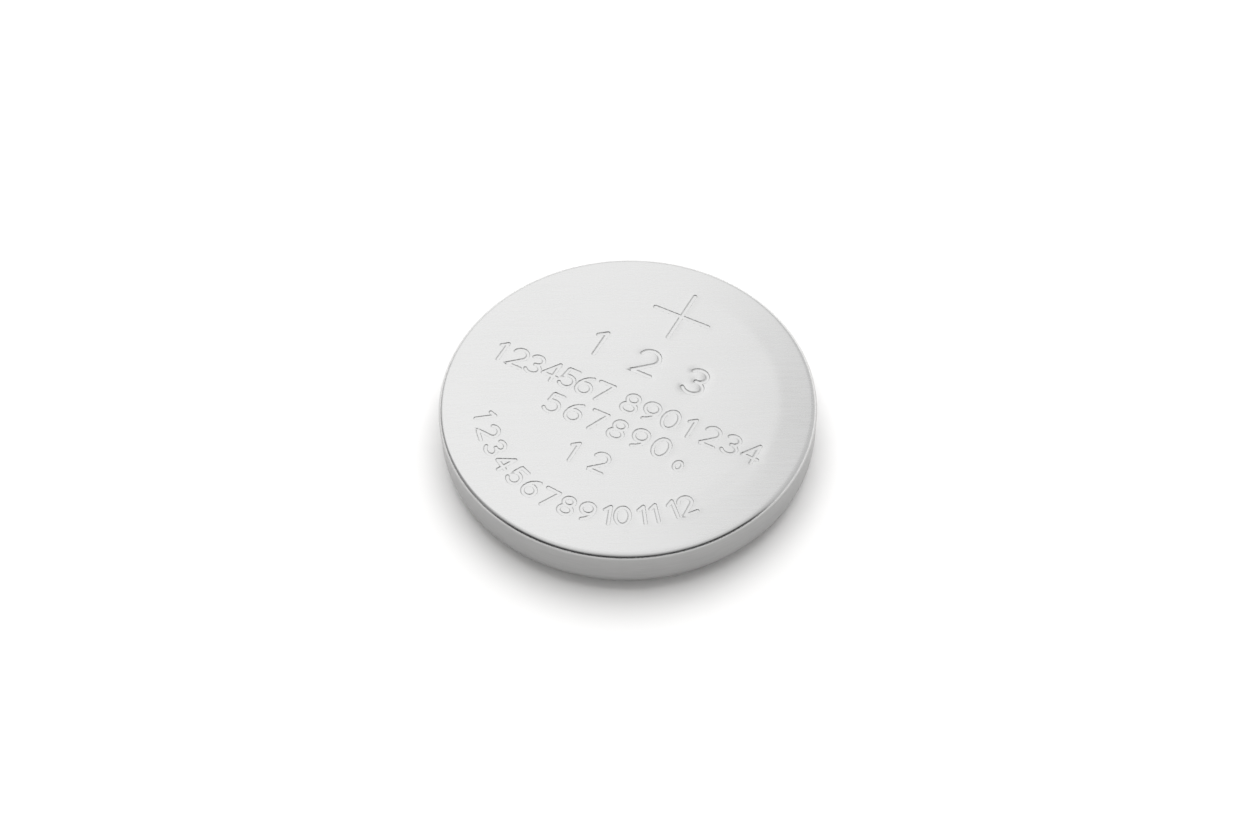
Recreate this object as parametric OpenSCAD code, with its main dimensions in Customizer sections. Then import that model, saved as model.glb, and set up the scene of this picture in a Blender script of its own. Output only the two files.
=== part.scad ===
// Lithium coin cell, 20 mm across and 3.2 mm thick, built piece by piece.
// The positive face is up. The negative cap's contact face lies on Z = 0,
// and the origin is the middle of that face. Every piece is turned about Z.

/* [Cell] */
// Diameter over the can
cell_d = 20; // [16:0.5:30]
// Thickness from contact face to contact face
cell_h = 3.2; // [2.8:0.1:5.4]

/* [Positive can] */
// Sheet thickness of the can
can_t = 0.25; // [0.18:0.01:0.3]
// Outer radius of the edge round the positive face
shoulder_r = 0.36; // [0.3:0.02:0.6]
// Angle by which the rim of the positive face falls outwards
face_slope = 2.5; // [1:0.5:4]
// How far the flat middle of the positive face runs past the collector ring
face_margin = 0.05; // [0.02:0.01:0.2]
// Outer radius of the edge that is crimped over the gasket
curl_r = 1.1; // [1:0.02:1.2]
// Angle that the crimped edge is bent through
curl_bend = 75; // [65:1:82]
// Height of the crimp's lowest line above the negative contact face
curl_rise = 0.2; // [0.15:0.01:0.3]

/* [Negative cap] */
// Sheet thickness of the cap
cap_t = 0.2; // [0.16:0.01:0.24]
// Inner radius of every bend in the cap
cap_bend_r = 0.15; // [0.1:0.01:0.2]
// Width of the flat ledge between the cap's two bends
ledge_w = 0.08; // [0.04:0.01:0.2]
// Height of the ledge's underside above the contact face
ledge_z = 0.75; // [0.7:0.01:0.85]
// Height of the hem's free end above the ledge's underside
hem_rise = 0.3; // [0.2:0.02:0.5]
// Slit left inside the folded hem
hem_slit = 0.03; // [0.02:0.01:0.06]

/* [Gasket] */
// Thickness of the gasket between the can's wall and the hem
gasket_wall = 0.26; // [0.22:0.01:0.34]
// Thickness of the gasket's foot between the hem's fold and the can's face
gasket_foot = 0.42; // [0.3:0.02:0.6]
// Depth of the gasket's inner wall along the inside of the skirt
gasket_inner_h = 0.9; // [0.5:0.05:1]
// How far the gasket's bead swells out below the end of the crimp
bead_h = 0.07; // [0.04:0.01:0.12]
// Clearance between the gasket and the two steel pieces that squeeze it
seal_gap = 0.02; // [0.01:0.005:0.03]

/* [Stack inside] */
// Thickness of the lithium disc
lithium_t = 0.6; // [0.3:0.05:0.8]
// Clearance between the lithium's edge and the cap's bend
lithium_gap = 0.25; // [0.1:0.05:0.6]
// Thickness of the separator felt
separator_t = 0.15; // [0.1:0.01:0.2]
// Clearance between the separator's rim and the gasket's inner wall
separator_gap = 0.37; // [0.3:0.01:0.6]
// Height of the separator's upturned rim, with its base
separator_h = 1; // [0.6:0.05:1.3]
// Clearance between the separator's rim and the collector ring
pellet_gap = 0.2; // [0.1:0.05:0.4]
// Sheet thickness of the collector ring
ring_t = 0.15; // [0.1:0.01:0.2]
// Height of the collector ring's wall
ring_h = 1.1; // [0.6:0.05:1.4]
// Width of the collector ring's foot under the pellet's edge
ring_foot = 0.9; // [0.5:0.05:2]
// Chamfer round the pellet's pressed face
pellet_chamfer = 0.12; // [0.05:0.01:0.2]

/* [Hidden] */
$fn = 128;
// Overlap of cutting shapes past the faces that they cut
over = 1;

cell_r = cell_d / 2;
can_ir = cell_r - can_t;
can_floor = cell_h - can_t;
curl_cr = cell_r - curl_r;
curl_cz = curl_rise + curl_r;
curl_ir = curl_r - can_t;
lip_r = curl_cr + curl_ir * cos(curl_bend);
lip_z = curl_cz - curl_ir * sin(curl_bend);

bend_or = cap_bend_r + cap_t;
hem_or = can_ir - gasket_wall;
skirt_or = hem_or - cap_t - hem_slit;
skirt_ir = skirt_or - cap_t;
cap_r = skirt_or - bend_or - ledge_w - cap_bend_r;
cap_ir = cap_r - cap_t;
hem_z = ledge_z + hem_rise;
fold_r = (hem_or - skirt_ir) / 2;
fold_cr = skirt_ir + fold_r;

gasket_ir = cap_r + seal_gap;
lithium_r = cap_ir - cap_bend_r - lithium_gap;
separator_z = cap_t + lithium_t;
separator_r = gasket_ir - separator_gap;
pellet_z = separator_z + separator_t;
ring_r = separator_r - separator_t - pellet_gap;
pellet_r = ring_r - ring_t;

face_r = ring_r + face_margin;
floor_flat_r = face_r - can_t * tan(face_slope / 2);
fold_top = sloped(fold_cr, floor_flat_r, can_floor) - gasket_foot;
inner_wall_z = fold_top - gasket_inner_h;

// The waste outside a round corner of radius r whose centre is at [x, y].
// The corner points to +x if sx is 1 and to +y if sy is 1, or the other way.
module corner_waste(x, y, r, sx, sy) {
    translate([x, y]) facing(sx, sy) difference() {
        square(r + over);
        circle(r);
    }
}

// Turns a corner that points to +x and +y to the signs given
module facing(sx, sy) {
    mirror([sx < 0 ? 1 : 0, 0]) mirror([0, sy < 0 ? 1 : 0]) children();
}

// The web that fills an inside corner at [x, y] with a fillet of radius r,
// on the +x and -y side of the corner
module fillet_web(x, y, r) {
    translate([x, y - r]) difference() {
        translate([-r / 2, 0]) square([r * 3 / 2, r * 3 / 2]);
        translate([r, 0]) circle(r);
        translate([r, -over]) square(r + over * 2);
    }
}

// Height at radius x of a face that is flat at height z out to flat_r
function sloped(x, flat_r, z) = z - max(0, x - flat_r) * tan(face_slope);

// Half section of a drum with two round edges, from z0 to z1. Its top is flat
// out to flat_r and falls from there to the upper round edge.
module drum(r, z0, z1, r_low, r_high, flat_r) {
    reach = r + over;
    high_cr = r - r_high;
    high_cz = sloped(high_cr, flat_r, z1) - r_high / cos(face_slope);
    difference() {
        translate([0, z0]) square([r, z1 - z0]);
        polygon([[flat_r, z1], [reach, sloped(reach, flat_r, z1)], [reach, z1 + over],
                 [flat_r, z1 + over]]);
        translate([high_cr, high_cz]) difference() {
            polygon([[0, 0], [over, 0], [over, over], [over * tan(face_slope), over]]);
            circle(r_high);
        }
        corner_waste(r - r_low, z0 + r_low, r_low, 1, -1);
    }
}

// What the crimp leaves open: all that lies inside the lip's cut end
module mouth() {
    reach = curl_r + over;
    polygon([[curl_cr, curl_cz], [-over, curl_cz], [-over, -over],
             [curl_cr + reach * cos(curl_bend), curl_cz - reach * sin(curl_bend)]]);
}

// Drawn cup of nickel-plated steel, its open edge crimped in over the gasket
module positive_can() {
    color("silver") rotate_extrude() difference() {
        drum(cell_r, curl_rise, cell_h, curl_r, shoulder_r, face_r);
        drum(can_ir, curl_rise + can_t, can_floor, curl_ir, shoulder_r - can_t, floor_flat_r);
        mouth();
    }
}

// Filled half section of the stepped cap, seen from outside or from inside
module cap_fill(r_face, z_face, r_skirt, z_ledge, r_convex, r_concave, top) {
    difference() {
        union() {
            translate([0, z_face]) square([r_face, top - z_face]);
            translate([0, z_ledge]) square([r_skirt, top - z_ledge]);
            fillet_web(r_face, z_ledge, r_concave);
        }
        corner_waste(r_face - r_convex, z_face + r_convex, r_convex, 1, -1);
        difference() {
            corner_waste(r_skirt - r_convex, z_ledge + r_convex, r_convex, 1, -1);
            square([r_skirt - r_convex, z_ledge]);
        }
    }
}

// Stamped cap: contact face, ledge, and a skirt folded back on itself
module negative_cap() {
    top = (hem_z + fold_top) / 2;
    color("gainsboro") rotate_extrude() {
        difference() {
            cap_fill(cap_r, 0, skirt_or, ledge_z, bend_or, cap_bend_r, top);
            cap_fill(cap_ir, cap_t, skirt_ir, ledge_z + cap_t, cap_bend_r, bend_or, top + over);
        }
        difference() {
            translate([skirt_ir, hem_z]) square([hem_or - skirt_ir, fold_top - hem_z]);
            corner_waste(fold_cr, fold_top - fold_r, fold_r, 1, 1);
            corner_waste(fold_cr, fold_top - fold_r, fold_r, -1, 1);
            translate([skirt_or, hem_z - over]) square([hem_slit, fold_top - cap_t - hem_z + over]);
        }
    }
}

// Moulded ring with a groove for the cap's skirt, squeezed by the crimp
module gasket() {
    color("dimgray") rotate_extrude() difference() {
        union() {
            drum(can_ir - seal_gap, curl_rise + can_t + seal_gap, can_floor,
                 curl_ir - seal_gap, max(shoulder_r - can_t, seal_gap), floor_flat_r);
            translate([gasket_ir, lip_z - bead_h]) square([lip_r - seal_gap - gasket_ir, bead_h + can_t]);
        }
        // the hollow inside the gasket
        translate([-over, -over]) square([gasket_ir + over, cell_h + over * 2]);
        // the plastic past the lip's end, apart from the bead
        translate([-over, -over]) square([cell_r + over * 2, lip_z - bead_h + over]);
        // the room under the inner wall, down to the cap's ledge
        difference() {
            translate([-over, ledge_z - seal_gap])
                square([skirt_or + seal_gap + over, inner_wall_z - ledge_z + seal_gap]);
            corner_waste(skirt_or - bend_or, ledge_z + bend_or, bend_or + seal_gap, 1, -1);
        }
        // the groove that holds the skirt and its hem
        difference() {
            translate([skirt_ir - seal_gap, hem_z - seal_gap])
                square([hem_or - skirt_ir + seal_gap * 2, fold_top - hem_z + seal_gap * 2]);
            corner_waste(fold_cr, fold_top - fold_r, fold_r + seal_gap, 1, 1);
            corner_waste(fold_cr, fold_top - fold_r, fold_r + seal_gap, -1, 1);
        }
        // the fillet between the cap's wall and its ledge
        fillet_web(gasket_ir, ledge_z - seal_gap, cap_bend_r - seal_gap);
    }
}

// Lithium punched from foil and pressed into the cap
module lithium_anode() {
    color("lightgray") translate([0, 0, cap_t]) cylinder(r = lithium_r, h = lithium_t);
}

// Shallow cup of felt between the lithium and the pellet
module separator() {
    color("white") translate([0, 0, separator_z]) difference() {
        cylinder(r = separator_r, h = separator_h);
        translate([0, 0, separator_t]) cylinder(r = separator_r - separator_t, h = separator_h);
    }
}

// Pressed black pellet, rebated where the collector ring's foot goes under it
module cathode_pellet() {
    color([0.12, 0.12, 0.12]) rotate_extrude() difference() {
        translate([0, pellet_z]) square([pellet_r, can_floor - pellet_z]);
        translate([pellet_r - ring_foot + ring_t, can_floor - ring_t]) square([ring_foot, ring_t + over]);
        translate([pellet_r, pellet_z]) rotate(45)
            square(pellet_chamfer * sqrt(2), center = true);
    }
}

// L-section ring of thin steel that ties the pellet's rim to the can
module collector_ring() {
    color("darkgray") rotate_extrude() {
        translate([ring_r - ring_t, can_floor - ring_h]) square([ring_t, ring_h]);
        translate([ring_r - ring_foot, can_floor - ring_t]) square([ring_foot, ring_t]);
    }
}

positive_can();
negative_cap();
gasket();
lithium_anode();
separator();
cathode_pellet();
collector_ring();
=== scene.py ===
"""Looks of a lithium coin cell: its steel can with stamped marks, stepped cap, gasket and studio."""

import logging
import math
from dataclasses import dataclass, field
from enum import Enum

import bpy
import numpy as np
from mathutils import Matrix, Vector
from mathutils.geometry import delaunay_2d_cdt


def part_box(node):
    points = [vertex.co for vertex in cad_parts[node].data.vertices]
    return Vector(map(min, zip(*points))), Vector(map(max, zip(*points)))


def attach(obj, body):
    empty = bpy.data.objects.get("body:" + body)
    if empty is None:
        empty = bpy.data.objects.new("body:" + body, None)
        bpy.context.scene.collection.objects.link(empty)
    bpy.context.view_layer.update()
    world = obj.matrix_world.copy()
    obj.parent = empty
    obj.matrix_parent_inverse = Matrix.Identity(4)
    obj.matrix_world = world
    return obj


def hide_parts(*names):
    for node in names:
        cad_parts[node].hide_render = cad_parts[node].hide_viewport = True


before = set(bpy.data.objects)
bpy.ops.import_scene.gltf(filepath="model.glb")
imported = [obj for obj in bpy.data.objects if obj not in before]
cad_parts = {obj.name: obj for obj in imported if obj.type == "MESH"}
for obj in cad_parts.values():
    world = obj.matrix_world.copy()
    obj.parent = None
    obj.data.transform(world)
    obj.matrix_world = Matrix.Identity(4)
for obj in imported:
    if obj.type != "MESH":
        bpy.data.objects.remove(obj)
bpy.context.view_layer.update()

MM = 0.001
LOG = logging.getLogger("coin_cell")
SAME_POINT = 1e-6
ON_AXIS = 1e-9


class Grain(Enum):
    """Which way the fine lines of a metal finish run."""

    ROLLED = "rolled"
    TURNED = "turned"


@dataclass(frozen=True)
class CellSizes:
    """Sizes of the cell in millimetres, the same as in its solids."""

    radius: float
    height: float
    can_sheet: float = 0.25
    shoulder: float = 0.36
    face_slope: float = math.radians(2.5)
    face_flat: float = 8.03
    curl: float = 1.1
    curl_bend: float = math.radians(75)
    curl_rise: float = 0.2
    cap_sheet: float = 0.2
    cap_bend: float = 0.15
    ledge_width: float = 0.08
    ledge_height: float = 0.75
    hem_rise: float = 0.3
    hem_slit: float = 0.03
    gasket_wall: float = 0.26
    gasket_foot: float = 0.42
    gasket_inner: float = 0.9
    bead: float = 0.07
    seal_gap: float = 0.02

    @property
    def can_inside(self) -> float:
        """Inner radius of the can's wall."""
        return self.radius - self.can_sheet

    @property
    def can_floor(self) -> float:
        """Height of the can's face seen from inside."""
        return self.height - self.can_sheet

    @property
    def curl_centre(self) -> tuple[float, float]:
        """Radius and height of the middle of the crimped curl."""
        return self.radius - self.curl, self.curl_rise + self.curl

    @property
    def bend_outside(self) -> float:
        """Outer radius of the cap's bends."""
        return self.cap_bend + self.cap_sheet

    @property
    def hem_outside(self) -> float:
        """Outer radius of the folded hem."""
        return self.can_inside - self.gasket_wall

    @property
    def skirt_outside(self) -> float:
        """Outer radius of the skirt's own sheet."""
        return self.hem_outside - self.cap_sheet - self.hem_slit

    @property
    def skirt_inside(self) -> float:
        """Inner radius of the skirt."""
        return self.skirt_outside - self.cap_sheet

    @property
    def cap_radius(self) -> float:
        """Outer radius of the raised contact face."""
        return self.skirt_outside - self.bend_outside - self.ledge_width - self.cap_bend

    @property
    def floor_flat(self) -> float:
        """Radius at which the can's inner face starts to fall."""
        return self.face_flat - self.can_sheet * math.tan(self.face_slope / 2)

    @property
    def fold_top(self) -> float:
        """Height of the hem's fold."""
        middle = (self.skirt_inside + self.hem_outside) / 2
        fall = max(0.0, middle - self.floor_flat) * math.tan(self.face_slope)
        return self.can_floor - fall - self.gasket_foot


def arc(centre: tuple[float, float], radius: float, start: float, end: float, steps: int) -> np.ndarray:
    """Points along a circular arc: the centre plus radius times (cos, sin) of evenly spaced angles.

    Args:
        centre: the arc's centre.
        radius: its radius.
        start: angle of the first point in degrees.
        end: angle of the last point in degrees.
        steps: how many chords the arc has.

    Returns:
        An array of steps + 1 points.
    """
    angle = np.radians(np.linspace(start, end, steps + 1))
    return np.stack([centre[0] + radius * np.cos(angle), centre[1] + radius * np.sin(angle)], axis=1)


def chain(*parts: np.ndarray | tuple[float, float]) -> np.ndarray:
    """Joins arcs and single points into one outline and drops points that repeat.

    Args:
        parts: arrays of points, or single points.

    Returns:
        The outline as one array.
    """
    points = np.concatenate([np.atleast_2d(np.asarray(part, float)) for part in parts])
    step = np.linalg.norm(np.diff(points, axis=0), axis=1)
    return points[np.concatenate([[True], step > SAME_POINT])]


def outline_normals(points: np.ndarray, closed: bool) -> np.ndarray:
    """Normals of an outline whose body lies on the left as it is walked.

    Each point's normal is the mean of its two neighbouring edges' normals, weighted by their
    lengths, so that a long flat stays flat up to the bend that it runs into.

    Args:
        points: the outline.
        closed: whether its last point joins its first.

    Returns:
        One unit normal a point.
    """
    following = np.roll(points, -1, axis=0) - points
    if not closed:
        following[-1] = 0
    edge = np.stack([following[:, 1], -following[:, 0]], axis=1)
    total = edge + np.roll(edge, 1, axis=0)
    return total / np.linalg.norm(total, axis=1, keepdims=True)


def smooth_step(share: np.ndarray) -> np.ndarray:
    """S-shaped step: 3 s squared less 2 s cubed, of a share s that is clipped to 0 to 1."""
    share = np.clip(share, 0, 1)
    return share * share * (3 - 2 * share)


def tinted(colour: tuple[float, float, float], share: float) -> tuple[float, float, float, float]:
    """A colour times a share, not past white, with alpha 1."""
    return tuple(min(1.0, part * share) for part in colour) + (1.0,)


class Surface:
    """A mesh under construction: vertices, normals and faces in millimetres."""

    def __init__(self) -> None:
        """Starts an empty surface."""
        self.points: list[np.ndarray] = []
        self.normals: list[np.ndarray] = []
        self.faces: list[list[int]] = []
        self.count = 0

    def add(self, points: np.ndarray, normals: np.ndarray, faces: np.ndarray) -> int:
        """Adds vertices with their normals, and faces that number these vertices from 0.

        Args:
            points: vertex positions.
            normals: one normal a vertex.
            faces: vertex numbers, one row a face.

        Returns:
            The number that the first of these vertices has in the whole surface.
        """
        first = self.count
        self.points.append(points)
        self.normals.append(normals)
        self.faces.extend((faces + first).tolist())
        self.count += len(points)
        return first

    def revolve(self, outline: np.ndarray, segments: int, closed: bool) -> int:
        """Turns an outline of radius and height about Z.

        Each point goes to (r cos t, r sin t, z) at evenly spaced angles t. An end on the axis
        becomes one pole vertex with a fan of triangles.

        Args:
            outline: radius and height of each point, with the body on the left.
            segments: how many steps the turn has.
            closed: whether the outline is a loop.

        Returns:
            The number of the first vertex of the first ring.
        """
        normal = outline_normals(outline, closed)
        start_pole = not closed and abs(outline[0, 0]) < ON_AXIS
        end_pole = not closed and abs(outline[-1, 0]) < ON_AXIS
        rings = slice(1 if start_pole else 0, len(outline) - 1 if end_pole else len(outline))
        turn = np.linspace(0, 2 * np.pi, segments, endpoint=False)
        cosine, sine = np.cos(turn), np.sin(turn)
        points, normals = (
            np.stack([np.outer(half[rings, 0], cosine), np.outer(half[rings, 0], sine),
                      np.repeat(half[rings, 1:], segments, axis=1)], axis=-1).reshape(-1, 3)
            for half in (outline, normal))
        count = len(points) // segments
        row = np.arange(count if closed else count - 1)[:, None] * segments
        column = np.arange(segments)[None, :]
        beside = (column + 1) % segments
        below = (row + segments) % (count * segments)
        quads = np.stack([row + column, row + beside, below + beside, below + column], axis=-1)
        first = self.add(points, normals, quads.reshape(-1, 4))
        for pole, end, ring in ((start_pole, 0, first), (end_pole, -1, first + (count - 1) * segments)):
            if not pole:
                continue
            up = np.array([[0, 0, math.copysign(1, normal[end, 1])]])
            centre = self.add(np.array([[0, 0, outline[end, 1]]]), up, np.empty((0, 3), int))
            around = ring + np.arange(segments)
            fan = np.stack([around, np.roll(around, -1), np.full(segments, centre)], axis=1)
            self.faces.extend((fan if end else fan[:, ::-1]).tolist())
        return first

    def build(self, name: str) -> bpy.types.Object:
        """Makes the Blender object, in metres, with smooth shading by the surface's own normals.

        Args:
            name: the object's name.

        Returns:
            The object, at the origin.
        """
        mesh = bpy.data.meshes.new(name)
        points = np.concatenate(self.points) * MM
        mesh.from_pydata(points.tolist(), [], self.faces)
        mesh.validate()
        mesh.shade_smooth()
        normals = np.concatenate(self.normals)
        normals /= np.linalg.norm(normals, axis=1, keepdims=True)
        mesh.normals_split_custom_set_from_vertices(normals.tolist())
        piece = bpy.data.objects.new(name, mesh)
        bpy.context.scene.collection.objects.link(piece)
        return piece


class Marks:
    """Strokes of the plain marks that are stamped into the positive face.

    WIDTH is that of a mark 1 high. A chord of an oval goes CHORD_DEGREES round it.
    """

    WIDTH = 0.7
    CHORD_DEGREES = 15
    FEWEST_CHORDS = 4

    @staticmethod
    def oval(centre: tuple[float, float], half: tuple[float, float], start: float, end: float) -> np.ndarray:
        """Points along an ellipse, centre plus half sizes times (cos, sin), from one angle to another.

        Args:
            centre: the middle of the ellipse.
            half: its half width and half height.
            start: first angle in degrees.
            end: last angle in degrees.

        Returns:
            An array of points.
        """
        steps = max(Marks.FEWEST_CHORDS, int(abs(end - start) / Marks.CHORD_DEGREES))
        angle = np.radians(np.linspace(start, end, steps + 1))
        return np.stack([centre[0] + half[0] * np.cos(angle), centre[1] + half[1] * np.sin(angle)], axis=1)

    @classmethod
    def glyph(cls, name: str) -> list[np.ndarray]:
        """Strokes of one mark in a box WIDTH wide and 1 high, standing on y = 0.

        Args:
            name: a digit, plus or ring.

        Returns:
            A list of polylines.
        """
        wide, mid = cls.WIDTH, cls.WIDTH / 2
        oval = cls.oval
        strokes = {
            "0": [oval((mid, 0.5), (mid, 0.5), 0, 360)],
            "1": [[(0.14, 0.8), (0.4, 1), (0.4, 0)]],
            "2": [np.concatenate([oval((mid, 0.7), (0.33, 0.3), 165, -40), [(0.02, 0), (wide, 0)]])],
            "3": [oval((0.34, 0.755), (0.29, 0.245), 150, -90), oval((0.34, 0.26), (0.34, 0.26), 90, -150)],
            "4": [[(0.52, 0), (0.52, 1), (0, 0.28), (wide, 0.28)]],
            "5": [np.concatenate([[(0.62, 1), (0.14, 1)], oval((0.34, 0.32), (0.35, 0.32), 135, -145)])],
            "6": [oval((mid, 0.31), (0.34, 0.31), 0, 360), oval((0.75, 0.34), (0.74, 0.66), 180, 108)],
            "7": [[(0, 1), (wide, 1), (0.22, 0)]],
            "8": [oval((mid, 0.76), (0.28, 0.24), 0, 360), oval((mid, 0.26), (0.34, 0.26), 0, 360)],
            "9": [oval((mid, 0.69), (0.34, 0.31), 0, 360), oval((-0.05, 0.66), (0.74, 0.66), 0, -72)],
            "plus": [[(mid, 0), (mid, 1)], [(mid - 0.49, 0.5), (mid + 0.49, 0.5)]],
            "ring": [oval((mid, 0.5), (0.38, 0.5), 0, 360)],
        }[name]
        return [np.asarray(stroke, float) - (mid, 0) for stroke in strokes]


@dataclass(frozen=True)
class Row:
    """A row of marks: straight along the text line, or round the middle of the face.

    A place is a distance along the line, or an angle in degrees round the face. The baseline is
    the line's distance from the middle, or the circle's radius.
    """

    names: tuple[str, ...]
    places: tuple[float, ...]
    height: float
    baseline: float
    depth: float = 0.055
    half_width: float = 0.09
    arc: bool = False
    troughs: tuple[float, ...] = ()

    def strokes(self, turn: float) -> list[tuple[np.ndarray, float]]:
        """Polylines of the row on the face, in millimetres, each with the depth of its soft trough.

        A straight row sets each mark at its place along a line that is turned by an angle. A row
        on an arc sets it at its angle on the baseline circle, with its top towards the middle.

        Args:
            turn: the angle of the text line in radians.

        Returns:
            A list of polylines and trough depths.
        """
        lines = []
        troughs = self.troughs or (0.0,) * len(self.names)
        for name, place, trough in zip(self.names, self.places, troughs, strict=True):
            if self.arc:
                angle = math.radians(place)
                origin = np.array([math.cos(angle), math.sin(angle)]) * self.baseline
                up = -np.array([math.cos(angle), math.sin(angle)])
                right = np.array([up[1], -up[0]])
            else:
                right = np.array([math.cos(turn), math.sin(turn)])
                up = np.array([-right[1], right[0]])
                origin = right * place + up * self.baseline
            for stroke in Marks.glyph(name):
                lines.append((origin + self.height * (stroke[:, :1] * right + stroke[:, 1:] * up), trough))
        return lines


@dataclass
class StampedFace:
    """The positive face as a height field with its stamped marks.

    The lip beside a groove is a share of its depth. A dent has its place along and across the text
    line, its spread and its depth, and a wave its turns along and across it and its start. The mesh
    has a net of points, one cell apart, and rows of points beside each stroke, one pace apart. An
    offset up to 1 puts a row at that share of the wall, from foot to top, and one past 1 puts it
    that many half walls out. A stroke of fewer than curve_points points has real corners.
    """

    sizes: CellSizes
    edge: float = 9.5
    segments: int = 384
    text_turn: float = math.radians(-29.0)
    wall: float = 0.04
    lip: float = 0.03
    trough_spread: float = 0.2
    fall_blend: float = 0.09
    calm_rim: float = 1.2
    wave_height: float = 0.0016
    waves: tuple[tuple[float, float, float], ...] = ((1.1, 0.7, 0.0), (-1.7, 0.8, 2.0))
    sag_depth: float = 0.011
    sag_turn: float = math.radians(-48)
    sag_turn_spread: float = math.radians(20)
    sag_radius: float = 7.9
    sag_radius_spread: float = 0.55
    normal_step: float = 0.004
    cell: float = 0.28
    pace: float = 0.06
    curve_points: int = 6
    circle_points: int = 16
    row_tolerance: float = 0.012
    merge: float = 0.016
    batch: int = 4096
    offsets: tuple[float, ...] = (-0.6, 0.0, 0.28, 0.5, 0.72, 1.0, 1.9, 3.4)
    rows: tuple[Row, ...] = field(default_factory=lambda: StampedFace.plain_rows())
    dents: tuple[tuple[float, float, float, float], ...] = (
        (2.4, 2.3, 0.8, 0.012), (-0.1, 2.5, 0.8, 0.01), (7.3, -0.4, 0.7, 0.012),
        (-2.6, -4.9, 1.6, 0.008), (3.9, -3.6, 1.1, 0.008), (-5.5, 0.6, 1.3, 0.006))

    @staticmethod
    def plain_rows() -> tuple[Row, ...]:
        """The rows of marks, from the polarity sign down to the arc of numbers.

        Returns:
            The rows.
        """
        numbers = tuple(digit for number in range(1, 13) for digit in str(number))
        angles = tuple(187.6 + 8.2 * k for k in range(9)) + (261.6, 267.0, 275.0, 279.8, 287.0, 292.2)
        groups = tuple(np.linspace(-7.5, -1.35, 7)) + tuple(np.linspace(0.35, 7.4, 7))
        return (
            Row(("plus",), (0.0,), 3.28, 4.66, 0.055, 0.105),
            Row(tuple("123"), (-3.1, -0.2, 2.7), 1.64, 1.81, 0.07, 0.105, troughs=(0.004, 0.03, 0.04)),
            Row(tuple("12345678901234"), groups, 1.2, -0.87, troughs=(0.0,) * 11 + (0.006, 0.012, 0.012)),
            Row(tuple("567890"), tuple(np.linspace(-3.3, 3.1, 6)), 1.2, -2.71),
            Row(tuple("12"), (-0.85, 0.7), 1.2, -4.99),
            Row(("ring",), (4.37,), 0.55, -3.0, half_width=0.08),
            Row(numbers, angles, 1.05, 8.08, 0.05, arc=True),
        )

    def segments_of(self) -> tuple[np.ndarray, np.ndarray, list[tuple[np.ndarray, Row]]]:
        """All strokes as straight segments.

        Returns:
            The segments' ends as rows of four numbers, each one's depth, half width and trough, and
            the polylines with their rows.
        """
        ends, make, lines = [], [], []
        for row in self.rows:
            for line, trough in row.strokes(self.text_turn):
                ends.append(np.hstack([line[:-1], line[1:]]))
                make.append(np.tile([row.depth, row.half_width, trough], (len(line) - 1, 1)))
                lines.append((line, row))
        return np.concatenate(ends), np.concatenate(make), lines

    def distances(self, points: np.ndarray, ends: np.ndarray) -> np.ndarray:
        """Distance of each point to each segment.

        The foot of the perpendicular is clipped to the segment, and the distance is taken to it.

        Args:
            points: points on the face.
            ends: the segments' ends.

        Returns:
            A matrix of distances.
        """
        along_x, along_y = (ends[:, 2:] - ends[:, :2]).T
        away_x = points[:, :1] - ends[:, 0]
        away_y = points[:, 1:] - ends[:, 1]
        share = np.clip((away_x * along_x + away_y * along_y) / (along_x ** 2 + along_y ** 2), 0, 1)
        return np.hypot(away_x - share * along_x, away_y - share * along_y)

    def clearance(self, points: np.ndarray, ends: np.ndarray) -> np.ndarray:
        """Distance of each point to the segment nearest to it.

        Args:
            points: points on the face.
            ends: the segments' ends.

        Returns:
            One distance a point.
        """
        return np.concatenate([self.distances(points[k:k + self.batch], ends).min(axis=1)
                               for k in range(0, len(points), self.batch)])

    def relief(self, points: np.ndarray) -> np.ndarray:
        """Height of the face over its flat middle.

        It is the fall of the rim, smoothed at its start, with soft dents, a faint waviness, and
        the groove of the nearest stroke. A groove has a flat floor, an S-shaped wall, a low lip
        beside it and a soft trough round it.

        Args:
            points: points on the face.

        Returns:
            One height a point, in millimetres.
        """
        x, y = points[:, 0], points[:, 1]
        radius = np.hypot(x, y)
        past_flat = (radius - self.sizes.face_flat) / self.fall_blend
        height = -np.logaddexp(0, past_flat) * self.fall_blend * math.tan(self.sizes.face_slope)
        right = np.array([math.cos(self.text_turn), math.sin(self.text_turn)])
        u, v = x * right[0] + y * right[1], -x * right[1] + y * right[0]
        calm = smooth_step((self.edge - radius) / self.calm_rim)
        for at_u, at_v, spread, depth in self.dents:
            height -= depth * calm * np.exp(-((u - at_u) ** 2 + (v - at_v) ** 2) / (2 * spread ** 2))
        height += self.wave_height * calm * sum(np.sin(a * u + b * v + c) for a, b, c in self.waves)
        turn = np.arctan2(y, x)
        sag = np.exp(-((turn - self.sag_turn) / self.sag_turn_spread) ** 2)
        height -= self.sag_depth * sag * np.exp(-((radius - self.sag_radius) / self.sag_radius_spread) ** 2)
        ends, make, _ = self.segments_of()
        groove = np.zeros(len(points))
        for start in range(0, len(points), self.batch):
            part = slice(start, start + self.batch)
            distance = self.distances(points[part], ends)
            nearest = (distance - make[:, 1]).argmin(axis=1)
            distance = distance[np.arange(len(distance)), nearest]
            depth, half, trough = make[nearest].T
            cut = depth * (1 - smooth_step((distance - half + self.wall / 2) / self.wall))
            rise = self.lip * depth * np.exp(-((distance - half - self.wall) / self.wall) ** 2)
            groove[part] = rise - cut - trough * np.exp(-(distance / self.trough_spread) ** 2)
        return height + groove

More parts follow.
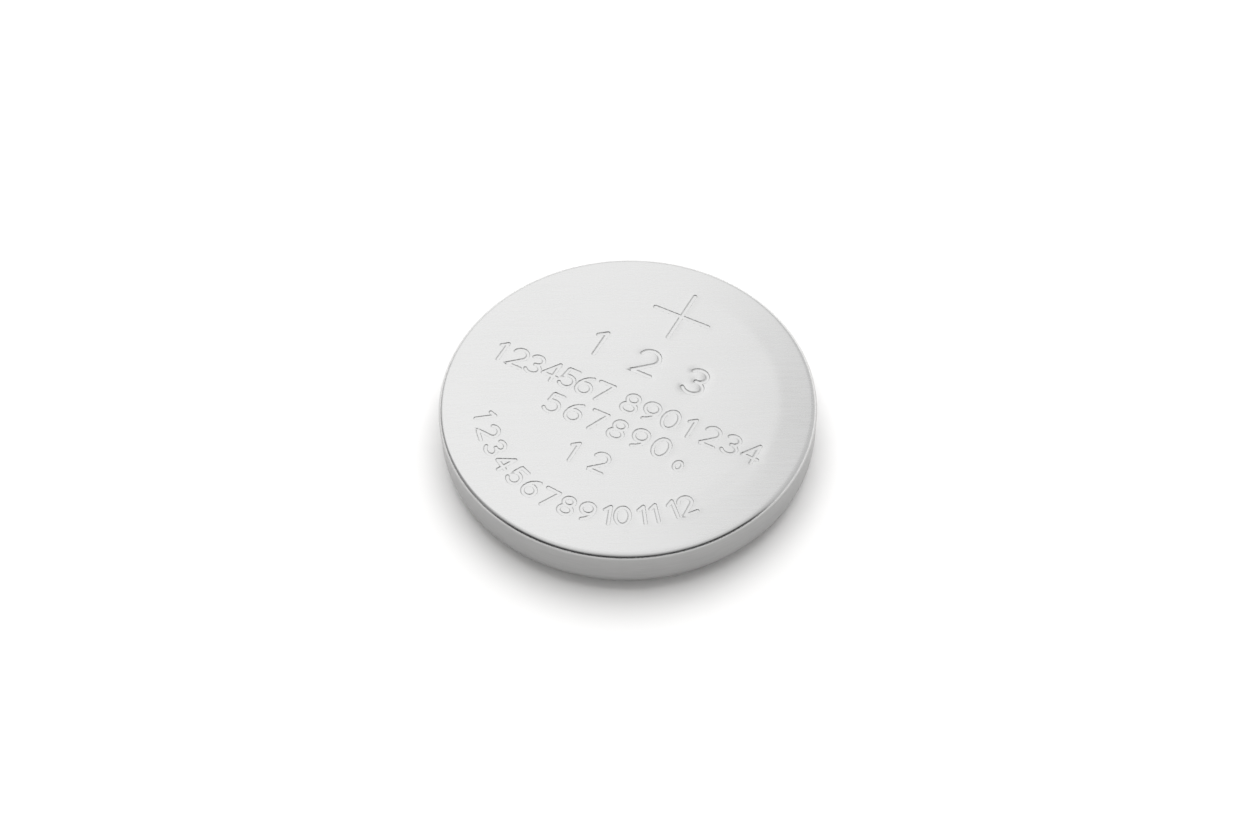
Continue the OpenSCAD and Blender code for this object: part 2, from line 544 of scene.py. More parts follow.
    def normals(self, points: np.ndarray) -> np.ndarray:
        """Unit normals of the height field, from central differences of its height.

        Args:
            points: points on the face.

        Returns:
            One normal a point.
        """
        step = self.normal_step
        dx = self.relief(points + (step, 0)) - self.relief(points - (step, 0))
        dy = self.relief(points + (0, step)) - self.relief(points - (0, step))
        normal = np.stack([-dx / (2 * step), -dy / (2 * step), np.ones(len(points))], axis=1)
        return normal / np.linalg.norm(normal, axis=1, keepdims=True)

    def samples(self) -> np.ndarray:
        """Points of the mesh: a net over the face, and lines beside every stroke.

        Each stroke gets rows of points at fixed distances from its middle, so that the edges of
        the triangles follow its walls. A point that another stroke is nearer to is dropped.

        Returns:
            The points, without the outer ring.
        """
        ends, _, lines = self.segments_of()
        around = np.linspace(0, 2 * np.pi, self.circle_points, endpoint=False)
        circle = np.stack([np.cos(around), np.sin(around)], axis=1)
        beside, wanted = [], []
        for line, row in lines:
            step = np.linalg.norm(np.diff(line, axis=0), axis=1)
            run = np.concatenate([[0], np.cumsum(step)])
            steps = max(2, int(run[-1] / self.pace))
            at = np.linspace(0, run[-1], steps + 1)
            middle = np.stack([np.interp(at, run, line[:, k]) for k in range(2)], axis=1)
            towards = np.gradient(middle, axis=0)
            towards /= np.linalg.norm(towards, axis=1, keepdims=True)
            across = np.stack([-towards[:, 1], towards[:, 0]], axis=1)
            beside.append(middle)
            # A wanted distance below 0 marks the points in the middle, which always stay.
            wanted.append(np.full(len(middle), -1.0))
            corners = line if len(line) < self.curve_points else line[[0, -1]]
            for share in self.offsets:
                half_walls = 2 * share - 1 if share <= 1 else share
                gap = row.half_width + self.wall / 2 * half_walls
                round_corners = (corners[:, None, :] + circle * gap).reshape(-1, 2)
                for points in (middle - gap * across, middle + gap * across, round_corners):
                    beside.append(points)
                    wanted.append(np.full(len(points), gap))
        points, gap = np.concatenate(beside), np.concatenate(wanted)
        points = points[(gap < 0) | (np.abs(self.clearance(points, ends) - gap) < self.row_tolerance)]
        net = np.arange(-self.edge, self.edge, self.cell)
        x, y = np.meshgrid(net, net * math.sqrt(3) / 2)
        x[::2] += self.cell / 2
        grid = np.stack([x.ravel(), y.ravel()], axis=1)
        grid = grid[np.hypot(grid[:, 0], grid[:, 1]) < self.edge - self.cell]
        grid = grid[self.clearance(grid, ends) > self.cell]
        points = np.concatenate([points, grid])
        points = points[np.hypot(points[:, 0], points[:, 1]) < self.edge - self.pace]
        _, keep = np.unique(np.round(points / self.merge).astype(int), axis=0, return_index=True)
        return points[np.sort(keep)]

    def add_to(self, surface: Surface, ring: int) -> None:
        """Triangulates the face and joins it to a ring of vertices that the surface has already.

        Args:
            surface: the surface to add to.
            ring: the number of the ring's first vertex, on the edge radius.
        """
        turn = np.linspace(0, 2 * np.pi, self.segments, endpoint=False)
        rim = np.stack([np.cos(turn), np.sin(turn)], axis=1) * self.edge
        inner = self.samples()
        everything = np.concatenate([rim, inner])
        loop = [(k, (k + 1) % self.segments) for k in range(self.segments)]
        inside_only, tolerance = 1, 1e-7
        placed, _, corners, sources, _, _ = delaunay_2d_cdt(
            [Vector(p) for p in everything], loop, [], inside_only, tolerance, True)
        assert len(placed) == len(everything), "two points of the face fall together"
        triangles = np.array([found[0] for found in sources])[np.array(corners)]
        corner = everything[triangles]
        area = np.cross(corner[:, 1] - corner[:, 0], corner[:, 2] - corner[:, 0])
        triangles[area < 0] = triangles[area < 0][:, ::-1]
        height = self.sizes.height + self.relief(inner)
        points = np.column_stack([inner, height])
        first = surface.add(points, self.normals(inner), np.empty((0, 3), int))
        where = np.concatenate([ring + np.arange(self.segments), first + np.arange(len(inner))])
        surface.faces.extend(where[triangles].tolist())


@dataclass
class PositiveCan:
    """The drawn steel can with its stamped face, round shoulder and crimped edge."""

    sizes: CellSizes
    face: StampedFace
    cut_round: float = 0.04

    def outline(self) -> np.ndarray:
        """Half section from the face's edge over the wall and the crimp to the inside's middle.

        Returns:
            Radius and height of each point.
        """
        s = self.sizes
        slope = math.degrees(s.face_slope)
        fall = math.tan(s.face_slope)
        shoulder = s.radius - s.shoulder
        shoulder_z = s.height - (shoulder - s.face_flat) * fall - s.shoulder / math.cos(s.face_slope)
        inner_round = s.shoulder - s.can_sheet
        corner = s.can_inside - inner_round
        corner_z = s.can_floor - (corner - s.floor_flat) * fall - inner_round / math.cos(s.face_slope)
        centre, bend = s.curl_centre, math.degrees(s.curl_bend)
        inner_curl, rounding = s.curl - s.can_sheet, self.cut_round
        outer_turn = math.degrees(rounding / (s.curl - rounding))
        inner_turn = math.degrees(rounding / (inner_curl + rounding))
        at = np.array(centre)
        outer_nose = at + (s.curl - rounding) * self.direction(outer_turn - bend)
        inner_nose = at + (inner_curl + rounding) * self.direction(inner_turn - bend)
        edge_z = s.height - (self.face.edge - s.face_flat) * fall
        return chain(
            (self.face.edge, edge_z),
            arc((shoulder, shoulder_z), s.shoulder, 90 - slope, 0, steps=14),
            (s.radius, (shoulder_z + centre[1]) / 2),
            arc(centre, s.curl, 0, outer_turn - bend, steps=22),
            arc(tuple(outer_nose), rounding, outer_turn - bend, -90 - bend, steps=5),
            arc(tuple(inner_nose), rounding, -90 - bend, -180 - bend + inner_turn, steps=5),
            arc(centre, inner_curl, inner_turn - bend, 0, steps=16),
            (s.can_inside, (corner_z + centre[1]) / 2),
            arc((corner, corner_z), inner_round, 0, 90 - slope, steps=5),
            (s.floor_flat, s.can_floor),
            (s.floor_flat / 2, s.can_floor),
            (0, s.can_floor),
        )

    @staticmethod
    def direction(angle: float) -> np.ndarray:
        """Unit vector at an angle in degrees."""
        return np.array([math.cos(math.radians(angle)), math.sin(math.radians(angle))])

    def build(self) -> bpy.types.Object:
        """Makes the can as one closed shell."""
        surface = Surface()
        outline = self.outline()[::-1]
        first = surface.revolve(outline, self.face.segments, closed=False)
        self.face.add_to(surface, first + (len(outline) - 2) * self.face.segments)
        return surface.build("can_shell")


@dataclass
class NegativeCap:
    """The stamped cap: contact face, ledge, and a skirt with a folded hem."""

    sizes: CellSizes
    segments: int = 320
    cut_round: float = 0.06

    def outline(self) -> np.ndarray:
        """Half section from the middle of the contact face round the hem to the inside's middle.

        Returns:
            Radius and height of each point.
        """
        s = self.sizes
        low = s.cap_radius - s.bend_outside
        web = s.ledge_height - s.cap_bend
        corner = s.skirt_outside - s.bend_outside
        corner_z = s.ledge_height + s.bend_outside
        hem_z = s.ledge_height + s.hem_rise
        fold = (s.hem_outside - s.skirt_inside) / 2
        fold_r, fold_z = s.skirt_inside + fold, s.fold_top - fold
        slit_z = s.fold_top - s.cap_sheet
        hem_inside = s.skirt_outside + s.hem_slit
        nose = self.cut_round
        return chain(
            (0, 0), (low / 2, 0),
            arc((low, s.bend_outside), s.bend_outside, -90, 0, steps=12),
            arc((s.cap_radius + s.cap_bend, web), s.cap_bend, 180, 90, steps=8),
            arc((corner, corner_z), s.bend_outside, -90, 0, steps=10),
            (s.skirt_outside, slit_z), (hem_inside, slit_z),
            arc((hem_inside + nose, hem_z + nose), nose, 180, 270, steps=4),
            arc((s.hem_outside - nose, hem_z + nose), nose, 270, 360, steps=4),
            arc((fold_r, fold_z), fold, 0, 180, steps=16),
            (s.skirt_inside, corner_z),
            arc((corner, corner_z), s.cap_bend, 0, -90, steps=8),
            arc((s.cap_radius + s.cap_bend, web), s.bend_outside, 90, 180, steps=10),
            arc((low, s.bend_outside), s.cap_bend, 0, -90, steps=8),
            (low / 2, s.cap_sheet), (0, s.cap_sheet),
        )

    def build(self) -> bpy.types.Object:
        """Makes the cap as one closed shell with a pole on each face."""
        surface = Surface()
        surface.revolve(self.outline(), self.segments, closed=False)
        return surface.build("cap_shell")


@dataclass
class Gasket:
    """The moulded sealing ring, whose bead shows between the crimp and the cap."""

    sizes: CellSizes
    segments: int = 256
    bead_round: float = 0.05

    def outline(self) -> np.ndarray:
        """Closed half section, walked with the plastic on the left.

        Returns:
            Radius and height of each point.
        """
        s = self.sizes
        gap = s.seal_gap
        fall = math.tan(s.face_slope)
        inside = s.cap_radius + gap
        outside = s.can_inside - gap
        centre, bend = s.curl_centre, math.degrees(s.curl_bend)
        curl = s.curl - s.can_sheet - gap
        lip_r = centre[0] + (s.curl - s.can_sheet) * math.cos(s.curl_bend) - gap
        lip_z = centre[1] - (s.curl - s.can_sheet) * math.sin(s.curl_bend)
        bead_z = lip_z - s.bead
        round_top = s.shoulder - s.can_sheet
        top_r = outside - round_top
        top_z = s.can_floor - (top_r - s.floor_flat) * fall - round_top / math.cos(s.face_slope)
        corner = s.skirt_outside - s.bend_outside
        corner_z = s.ledge_height + s.bend_outside
        hem_z = s.ledge_height + s.hem_rise - gap
        reach = s.bend_outside + gap
        start = math.degrees(math.asin((corner_z - hem_z) / reach))
        fold = (s.hem_outside - s.skirt_inside) / 2
        fold_r, fold_z = s.skirt_inside + fold, s.fold_top - fold
        inner_z = s.fold_top - s.gasket_inner
        web = s.cap_bend - gap
        soft = min(self.bead_round, (lip_r - inside) / 4)
        return chain(
            arc((inside + soft, bead_z + soft), soft, 180, 270, steps=4),
            arc((lip_r - soft, bead_z + soft), soft, 270, 360, steps=4),
            arc(centre, curl, -math.degrees(math.acos((lip_r - centre[0]) / curl)), 0, steps=14),
            arc((top_r, top_z), round_top, 0, 90 - math.degrees(s.face_slope), steps=5),
            (inside, s.can_floor - (inside - s.floor_flat) * fall),
            (inside, inner_z), (s.skirt_inside - gap, inner_z),
            arc((fold_r, fold_z), fold + gap, 180, 0, steps=14),
            (s.hem_outside + gap, hem_z), (corner + reach * math.cos(math.radians(start)), hem_z),
            arc((corner, corner_z), reach, -start, -90, steps=8),
            arc((inside + web, s.ledge_height - gap - web), web, 90, 180, steps=6),
        )

    def build(self) -> bpy.types.Object:
        """Makes the gasket as one closed ring."""
        surface = Surface()
        surface.revolve(self.outline(), self.segments, closed=True)
        return surface.build("gasket_ring")


class Nodes:
    """Builds one material's node tree with short calls."""

    # Places of the two colours and of the result among a colour Mix node's sockets.
    FIRST, SECOND, MIXED = 6, 7, 2

    def __init__(self, name: str) -> None:
        """Starts a material with its principled shader wired to the output."""
        self.material = bpy.data.materials.new(name)
        self.material.use_nodes = True
        self.tree = self.material.node_tree
        self.shader = self.tree.nodes["Principled BSDF"]

    def add(self, kind: str, **values: object) -> bpy.types.Node:
        """Adds a node. A value goes to the attribute of that name, or else to that input.

        Args:
            kind: the node's type.
            values: what to set on it.

        Returns:
            The node.
        """
        node = self.tree.nodes.new(kind)
        for key, value in values.items():
            if hasattr(node, key):
                setattr(node, key, value)
            else:
                node.inputs[key.replace("_", " ")].default_value = value
        return node

    def link(self, source: bpy.types.NodeSocket, target: bpy.types.NodeSocket) -> None:
        """Wires one socket to another."""
        self.tree.links.new(source, target)

    def noise(self, scale: tuple[float, float, float], detail: float,
              turn: float = 0.0) -> bpy.types.NodeSocket:
        """Noise on Object coordinates, stretched by a scale in cells a metre along each axis.

        Args:
            scale: cells a metre along X, Y and Z.
            detail: octaves of the noise.
            turn: turn about Z in radians before the scale.

        Returns:
            The noise's factor socket.
        """
        place = self.add("ShaderNodeTexCoord")
        mapping = self.add("ShaderNodeMapping", vector_type="POINT")
        mapping.inputs["Scale"].default_value = scale
        mapping.inputs["Rotation"].default_value = (0, 0, turn)
        noise = self.add("ShaderNodeTexNoise", Scale=1.0, Detail=detail)
        self.link(place.outputs["Object"], mapping.inputs["Vector"])
        self.link(mapping.outputs["Vector"], noise.inputs["Vector"])
        return noise.outputs["Fac"]

    def spread(self, source: bpy.types.NodeSocket, low: float, high: float,
               start: float = 0.3, end: float = 0.7) -> bpy.types.NodeSocket:
        """Maps a factor from start..end to low..high, and clamps it.

        Args:
            source: the factor.
            low: result at start.
            high: result at end.
            start: where the range of the factor starts.
            end: where it ends.

        Returns:
            The mapped value's socket.
        """
        node = self.add("ShaderNodeMapRange")
        for key, value in (("From Min", start), ("From Max", end), ("To Min", low), ("To Max", high)):
            node.inputs[key].default_value = value
        self.link(source, node.inputs["Value"])
        return node.outputs["Result"]

    def mix(self, factor: bpy.types.NodeSocket, first: tuple | bpy.types.NodeSocket,
            second: tuple | bpy.types.NodeSocket) -> bpy.types.NodeSocket:
        """Mixes two colours by a factor.

        Args:
            factor: the mix, 0 for the first colour.
            first: a colour with alpha, or a colour's socket.
            second: the same for the other colour.

        Returns:
            The mixed colour's socket.
        """
        node = self.add("ShaderNodeMix", data_type="RGBA")
        for place, colour in ((self.FIRST, first), (self.SECOND, second)):
            if isinstance(colour, tuple):
                node.inputs[place].default_value = colour
            else:
                self.link(colour, node.inputs[place])
        self.link(factor, node.inputs["Factor"])
        return node.outputs[self.MIXED]

    def calculate(self, operation: str, *terms: bpy.types.NodeSocket | float) -> bpy.types.NodeSocket:
        """Adds a math node.

        Args:
            operation: what it works out.
            terms: sockets or numbers.

        Returns:
            The result's socket.
        """
        node = self.add("ShaderNodeMath", operation=operation)
        for k, term in enumerate(terms):
            if isinstance(term, (int, float)):
                node.inputs[k].default_value = term
            else:
                self.link(term, node.inputs[k])
        return node.outputs["Value"]

    def bump(self, height: bpy.types.NodeSocket, distance: float, strength: float) -> None:
        """Bumps the shader's normal.

        Args:
            height: the height's socket.
            distance: metres that a height of 1 stands for.
            strength: how much of the bump is used.
        """
        node = self.add("ShaderNodeBump", Strength=strength, Distance=distance)
        self.link(height, node.inputs["Height"])
        self.link(node.outputs["Normal"], self.shader.inputs["Normal"])


@dataclass(frozen=True)
class SteelFinish:
    """Nickel-plated steel sheet with fine lines from rolling or turning.

    Scales are in cells a metre, and lines run along the axis that has few. A drawn can's wall
    starts, and its shoulder's gloss comes and goes, between two depths in millimetres below the
    face. Shades are the darkest and the lightest share of a colour.
    """

    name: str
    colour: tuple[float, float, float]
    roughness: float
    grain: Grain
    # Share by which the wall's colour is darkened: partly a duller drawn finish, partly painted shade for
    # the shadowed floor that the wall mirrors.
    wall_dullness: float = 0.0
    face_height: float = 3.0
    rolled_scale: tuple[float, float, float] = (300, 13000, 13000)
    turned_scale: tuple[float, float, float] = (700, 700, 15000)
    cloud_scale: tuple[float, float, float] = (300, 300, 300)
    rolled_turn: float = math.radians(-7)
    octaves: float = 3.0
    line_share: float = 0.6
    cloud_share: float = 0.4
    shades: tuple[float, float] = (0.965, 1.025)
    roughness_reach: tuple[float, float] = (-0.03, 0.04)
    wall_depths: tuple[float, float] = (0.36, 0.1)
    wall_shades: tuple[float, float] = (0.95, 1.05)
    wall_roughness: float = 0.12
    gloss: float = 0.1
    gloss_start: tuple[float, float] = (0.42, 0.28)
    gloss_end: tuple[float, float] = (0.12, 0.08)
    line_height: float = 0.0000015
    line_strength: float = 0.3

    def material(self) -> bpy.types.Material:
        """Makes the steel's material.

        Returns:
            The material.
        """
        nodes = Nodes(self.name)
        nodes.shader.inputs["Metallic"].default_value = 1.0
        rolled = nodes.noise(self.rolled_scale, self.octaves, self.rolled_turn)
        turned = nodes.noise(self.turned_scale, self.octaves)
        cloud = nodes.noise(self.cloud_scale, self.octaves)
        lines = turned if self.grain is Grain.TURNED else rolled
        level = nodes.calculate("ADD", nodes.calculate("MULTIPLY", lines, self.line_share),
                                nodes.calculate("MULTIPLY", cloud, self.cloud_share))
        colour = nodes.mix(nodes.spread(level, 0, 1), *(tinted(self.colour, shade) for shade in self.shades))
        roughness = nodes.spread(level, *(self.roughness + change for change in self.roughness_reach))
        if self.wall_dullness:
            colour, roughness, lines = self.drawn_wall(nodes, colour, roughness, rolled, turned)
        nodes.link(colour, nodes.shader.inputs["Base Color"])
        nodes.link(roughness, nodes.shader.inputs["Roughness"])
        nodes.bump(lines, self.line_height, self.line_strength)
        return nodes.material

    def drawn_wall(self, nodes: Nodes, colour: bpy.types.NodeSocket, roughness: bpy.types.NodeSocket,
                   rolled: bpy.types.NodeSocket, turned: bpy.types.NodeSocket) -> tuple:
        """Adds the look of a drawn can's wall below its face.

        The face keeps the sheet's rolled grain. The wall, which slid through the die, is rougher and has
        fine lines round it.
        Its colour is darkened, partly for a duller drawn finish and partly as painted shade for the shadowed
        floor that it mirrors. The shoulder between them is burnished.

        Args:
            nodes: the material's nodes.
            colour: the face's colour.
            roughness: the face's roughness.
            rolled: the face's lines.
            turned: the wall's lines.

        Returns:
            Sockets of the whole can's colour, roughness and lines.
        """
        place = nodes.add("ShaderNodeTexCoord")
        split = nodes.add("ShaderNodeSeparateXYZ")
        nodes.link(place.outputs["Object"], split.inputs["Vector"])
        wall, start, end = (
            nodes.spread(split.outputs["Z"], low, 1 - low,
                         *((self.face_height - depth) * MM for depth in depths))
            for low, depths in ((1, self.wall_depths), (0, self.gloss_start), (1, self.gloss_end)))
        # Painted shade: the wall's colour is darkened here, partly for its duller drawn finish and partly to
        # stand in for the shadowed floor that it mirrors.
        dull_and_shaded = tuple(part * (1 - self.wall_dullness) for part in self.colour)
        wall_colour = nodes.mix(nodes.spread(turned, 0, 1),
                                *(tinted(dull_and_shaded, shade) for shade in self.wall_shades))
        rougher = nodes.calculate("ADD", roughness, nodes.calculate("MULTIPLY", wall, self.wall_roughness))
        burnished = nodes.calculate("MULTIPLY", nodes.calculate("MULTIPLY", start, end), self.gloss)
        face = nodes.calculate("SUBTRACT", 1.0, wall)
        lines = nodes.calculate("ADD", nodes.calculate("MULTIPLY", rolled, face),
                                nodes.calculate("MULTIPLY", turned, wall))
        return nodes.mix(wall, colour, wall_colour), nodes.calculate("SUBTRACT", rougher, burnished), lines


@dataclass(frozen=True)
class PlasticFinish:
    """Moulded plastic, felt or pressed powder with a faint grain."""

    name: str
    colour: tuple[float, float, float]
    roughness: float
    grain_scale: tuple[float, float, float] = (5000, 5000, 5000)
    octaves: float = 2.0
    shades: tuple[float, float] = (0.8, 1.15)
    roughness_reach: float = 0.06
    grain_height: float = 0.000004
    grain_strength: float = 0.3

    def material(self) -> bpy.types.Material:
        """Makes the material.

        Returns:
            The material.
        """
        nodes = Nodes(self.name)
        grain = nodes.noise(self.grain_scale, self.octaves)
        colour = nodes.mix(nodes.spread(grain, 0, 1), *(tinted(self.colour, shade) for shade in self.shades))
        reach = self.roughness_reach
        nodes.link(colour, nodes.shader.inputs["Base Color"])
        nodes.link(nodes.spread(grain, self.roughness - reach, self.roughness + reach),
                   nodes.shader.inputs["Roughness"])
        nodes.bump(grain, self.grain_height, self.grain_strength)
        return nodes.material


@dataclass
class Viewpoint:
    """The camera at the photograph's view, with places in millimetres as in the solids."""

    distance: float = 100.0
    elevation: float = math.radians(51.987)
    aim: tuple[float, float] = (0.098, -1.494)
    aim_height: float = 3.2
    roll: float = math.radians(-1.312)
    focal_px: float = 1894.85
    image_width_px: int = 1260
    sensor: float = 36.0

    def build(self) -> None:
        """Makes the camera and sets it as the scene's."""
        data = bpy.data.cameras.new("camera")
        data.sensor_fit = "HORIZONTAL"
        data.sensor_width = self.sensor
        data.lens = self.focal_px * self.sensor / self.image_width_px
        data.clip_start = 0.001
        camera = bpy.data.objects.new("camera", data)
        bpy.context.scene.collection.objects.link(camera)
        place = Vector((0, -math.cos(self.elevation), math.sin(self.elevation))) * self.distance
        place.z += self.aim_height
        target = Vector((*self.aim, self.aim_height))
        turn = (target - place).to_track_quat("-Z", "Y").to_matrix().to_4x4()
        camera.matrix_world = Matrix.Translation(place * MM) @ turn @ Matrix.Rotation(self.roll, 4, "Z")
        bpy.context.scene.camera = camera


@dataclass(frozen=True)
class Patch:
    """A soft-edged patch of what the metal mirrors, between planes through the cell.

    Each side is a plane's normal, which points out of the patch, and an angle in degrees by which
    the patch reaches past the plane.
    """

    tone: float
    edge: float
    sides: tuple[tuple[float, float, float, float], ...]

    def weight(self, directions: np.ndarray) -> np.ndarray:
        """How far the patch covers each direction.

        It is the product of S-shaped steps, one for each side, each as wide as the edge, of the
        angle between the direction and the plane.

        Args:
            directions: unit vectors.

        Returns:
            Weights from 0 to 1.
        """
        weight = np.ones(directions.shape[:-1])
        for *normal, reach in self.sides:
            normal = np.array(normal) / np.linalg.norm(normal)
            angle = reach - np.degrees(np.arcsin(np.clip(directions @ normal, -1, 1)))
            weight *= smooth_step(angle / self.edge + 0.5)
        return weight


@dataclass
class Studio:
    """White floor, white surroundings, one large lamp and the tent that the metal mirrors.

    Lengths are in metres and the lamp's power in watts.
    """

    floor_half: float = 0.6
    shadow_reach: float = 0.045
    glow_reach: float = 0.1125
    floor_colour: tuple[float, float, float] = (0.93, 0.93, 0.93)
    paper_scale: tuple[float, float, float] = (900, 900, 900)
    paper_octaves: float = 2.0
    paper_shade: float = 0.995
    sky_fill: float = 0.58
    sky_colour: tuple[float, float, float] = (1.0, 0.988, 0.975)
    lamp_power: float = 1.45
    lamp_size: float = 0.42
    lamp_distance: float = 0.4
    lamp_azimuth: float = math.radians(84)
    lamp_elevation: float = math.radians(72)
    tent_radius: float = 0.35
    tent_around: int = 180
    tent_up: int = 46
    patches: tuple[Patch, ...] = (
        Patch(0.70, 12, ((0, 0, -1, -12), (-1, 0, 0, 15))),
        Patch(0.95, 20, ((0, 0, -1, -60),)),
        Patch(0.28, 70, ((0.91, 0.41, 0, -20), (0, 0, 1, 44))),
        Patch(0.05, 16, ((0, 0, 1, 35), (0, 1, 0, -20))),
        Patch(1.13, 5, ((1, -0.343, 0.121, 1.5), (0, 0, -1, -26), (0, -1, 0, -3), (-0.8, -0.3, 0, 40))),
    )

    def floor(self) -> None:
        """Makes the floor as one flat sheet that the cell stands on.

        Away from the cell it also glows white for the camera and for mirrored rays, because the
        lamp's light thins out there and the background has to stay white up to the horizon.
        """
        half = self.floor_half
        mesh = bpy.data.meshes.new("floor")
        corners = [(-half, -half, 0), (half, -half, 0), (half, half, 0), (-half, half, 0)]
        mesh.from_pydata(corners, [], [(0, 1, 2, 3)])
        sheet = bpy.data.objects.new("floor", mesh)
        bpy.context.scene.collection.objects.link(sheet)
        nodes = Nodes("white_floor")
        paper = nodes.noise(self.paper_scale, self.paper_octaves)
        colour = nodes.mix(nodes.spread(paper, 0, 1), tinted(self.floor_colour, self.paper_shade),
                           tinted(self.floor_colour, 1))
        nodes.link(colour, nodes.shader.inputs["Base Color"])
        nodes.shader.inputs["Roughness"].default_value = 1.0
        nodes.shader.inputs["Specular IOR Level"].default_value = 0.0
        nodes.shader.inputs["Emission Color"].default_value = (1, 1, 1, 1)
        away = nodes.add("ShaderNodeVectorMath", operation="LENGTH")
        nodes.link(nodes.add("ShaderNodeTexCoord").outputs["Object"], away.inputs[0])
        far = nodes.spread(away.outputs["Value"], 0, 1, self.shadow_reach, self.glow_reach)
        path = nodes.add("ShaderNodeLightPath")
        seen = nodes.calculate("MAXIMUM", path.outputs["Is Camera Ray"], path.outputs["Is Glossy Ray"])
        nodes.link(nodes.calculate("MULTIPLY", far, seen), nodes.shader.inputs["Emission Strength"])
        mesh.materials.append(nodes.material)

    def sky(self) -> None:
        """White surroundings for what is seen directly or mirrored, and a weaker fill of light."""
        world = bpy.data.worlds.new("surroundings")
        world.use_nodes = True
        tree = world.node_tree
        background = tree.nodes["Background"]
        path = tree.nodes.new("ShaderNodeLightPath")
        seen = path.outputs["Is Camera Ray"]
        for ray in ("Is Glossy Ray", "Is Transmission Ray"):
            either = tree.nodes.new("ShaderNodeMath")
            either.operation = "MAXIMUM"
            tree.links.new(seen, either.inputs[0])
            tree.links.new(path.outputs[ray], either.inputs[1])
            seen = either.outputs[0]
        tone = tree.nodes.new("ShaderNodeMix")
        tone.data_type = "RGBA"
        tone.inputs[Nodes.FIRST].default_value = tinted(self.sky_colour, self.sky_fill)
        tone.inputs[Nodes.SECOND].default_value = (1, 1, 1, 1)
        tree.links.new(seen, tone.inputs["Factor"])
        tree.links.new(tone.outputs[Nodes.MIXED], background.inputs["Color"])
        bpy.context.scene.world = world

    def lamp(self) -> None:
        """Makes the square soft lamp, which points at the cell and isn't mirrored in it."""
        data = bpy.data.lights.new("back_lamp", "AREA")
        data.shape = "SQUARE"
        data.size = self.lamp_size
        data.energy = self.lamp_power
        lamp = bpy.data.objects.new("back_lamp", data)
        bpy.context.scene.collection.objects.link(lamp)
        a, e = self.lamp_azimuth, self.lamp_elevation
        towards = Vector((math.cos(a) * math.cos(e), math.sin(a) * math.cos(e), math.sin(e)))
        lamp.location = towards * self.lamp_distance
        lamp.rotation_euler = (-lamp.location).to_track_quat("-Z", "Y").to_euler()
        lamp.visible_glossy = False

    def tent(self) -> None:
        """A half sphere round the cell that only mirrored rays see, white with soft patches.

        Each vertex takes tone 1, and then each patch in turn mixes its own tone in by its weight.
        """
        around, up = self.tent_around, self.tent_up
        azimuth = np.linspace(0, 360, around, endpoint=False)
        a, e = np.radians(np.meshgrid(azimuth, np.linspace(0, 90, up)))
        directions = np.stack([np.cos(a) * np.cos(e), np.sin(a) * np.cos(e), np.sin(e)], axis=-1)
        points = directions * self.tent_radius
        tone = np.ones_like(a)
        for patch in self.patches:
            weight = patch.weight(directions)
            tone = tone * (1 - weight) + patch.tone * weight
        row = np.arange(up - 1)[:, None] * around
        column = np.arange(around)[None, :]
        beside = (column + 1) % around
        faces = np.stack([row + column, row + column + around, row + beside + around, row + beside], axis=-1)
        mesh = bpy.data.meshes.new("tent")
        mesh.from_pydata(points.reshape(-1, 3).tolist(), [], faces.reshape(-1, 4).tolist())
        colour = mesh.attributes.new("tone", "FLOAT", "POINT")
        colour.data.foreach_set("value", tone.ravel().astype(np.float32))
        sheet = bpy.data.objects.new("tent", mesh)
        bpy.context.scene.collection.objects.link(sheet)
        nodes = Nodes("tent")
        nodes.shader.inputs["Base Color"].default_value = (0, 0, 0, 1)
        nodes.shader.inputs["Specular IOR Level"].default_value = 0.0
        nodes.shader.inputs["Emission Color"].default_value = (1, 1, 1, 1)
        tones = nodes.add("ShaderNodeAttribute", attribute_name="tone")
        nodes.link(tones.outputs["Fac"], nodes.shader.inputs["Emission Strength"])
        mesh.materials.append(nodes.material)
        for ray in ("camera", "diffuse", "shadow", "transmission", "volume_scatter"):
            setattr(sheet, f"visible_{ray}", False)

    def build(self) -> None:
        """Sets up the floor, the surroundings, the lamp and the tent."""
        bpy.context.scene.view_settings.view_transform = "Standard"
        self.floor()
        self.sky()
        self.lamp()
        self.tent()


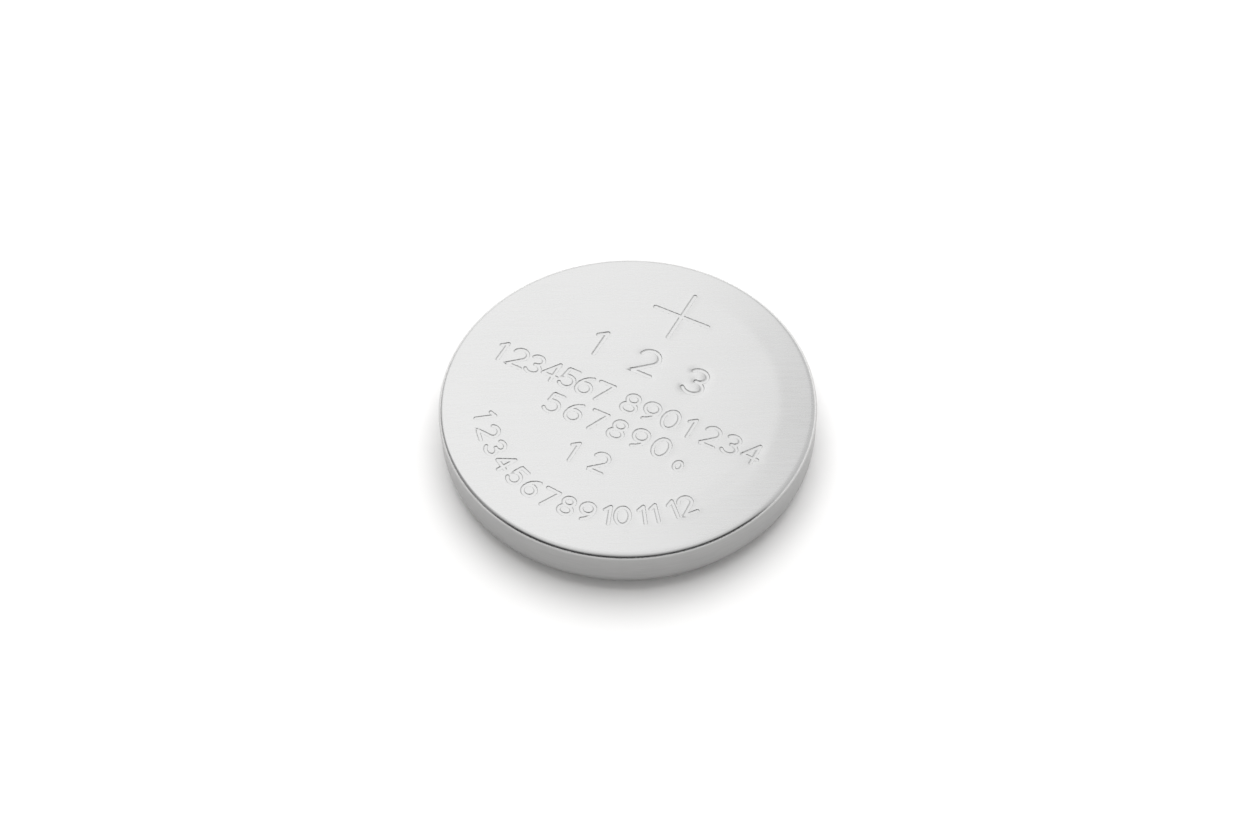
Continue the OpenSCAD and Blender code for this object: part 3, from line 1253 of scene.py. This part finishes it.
@dataclass
class CoinCell:
    """The whole cell: its shells and the dress of its inner pieces."""

    sizes: CellSizes
    body: str = "root"

    def place(self, piece: bpy.types.Object, node: str, slot: str, material: bpy.types.Material) -> None:
        """Puts a new piece in a solid's place.

        Args:
            piece: the new piece.
            node: the solid that it stands for.
            slot: the record's material slot; not used.
            material: its material.
        """
        piece.data.materials.append(material)
        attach(piece, self.body)
        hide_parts(node)
        LOG.info("%s stands for %s with %d vertices", piece.name, node, len(piece.data.vertices))

    def dress(self, node: str, material: bpy.types.Material) -> None:
        """Gives a solid that stays a material of its own.

        Args:
            node: the solid.
            material: its material.
        """
        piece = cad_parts[node]
        piece.data.materials.clear()
        piece.data.materials.append(material)
        LOG.info("%s is dressed in %s", node, material.name)

    def build(self) -> None:
        """Makes every visible shell and dresses the sealed pieces."""
        sizes = self.sizes
        # The can's wall colour is darkened to 0.53 of the face's, partly for a duller drawn finish and
        # partly as painted shade for the shadowed floor that the wall mirrors.
        nickel = SteelFinish("nickel_steel", (0.74, 0.74, 0.738), 0.27, Grain.ROLLED, wall_dullness=0.47,
                             face_height=sizes.height).material()
        cap_steel = SteelFinish("cap_steel", (0.72, 0.72, 0.716), 0.3, Grain.ROLLED).material()
        ring_steel = SteelFinish("ring_steel", (0.7, 0.7, 0.69), 0.35, Grain.TURNED).material()
        self.place(PositiveCan(sizes, StampedFace(sizes)).build(), "positive_can", "nickel_steel", nickel)
        self.place(NegativeCap(sizes).build(), "negative_cap", "cap_steel", cap_steel)
        gasket = PlasticFinish("gasket_plastic", (0.025, 0.024, 0.023), 0.45).material()
        self.place(Gasket(sizes).build(), "gasket", "gasket_plastic", gasket)
        self.dress("collector_ring", ring_steel)
        self.dress("lithium_anode", SteelFinish("lithium", (0.62, 0.62, 0.63), 0.5, Grain.ROLLED).material())
        self.dress("separator", PlasticFinish("separator_felt", (0.8, 0.79, 0.76), 0.85).material())
        self.dress("cathode_pellet", PlasticFinish("pressed_pellet", (0.03, 0.03, 0.03), 0.8).material())


def main() -> None:
    """Builds the cell, the camera and the studio, and keeps both sizes."""
    logging.basicConfig(level=logging.INFO, format="%(message)s")
    lowest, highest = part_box("positive_can")
    sizes = CellSizes(radius=round((highest.x - lowest.x) / 2 / MM, 3), height=round(highest.z / MM, 3))
    CoinCell(sizes).build()
    Viewpoint().build()
    Studio().build()


if __name__ == "__main__":
    main()
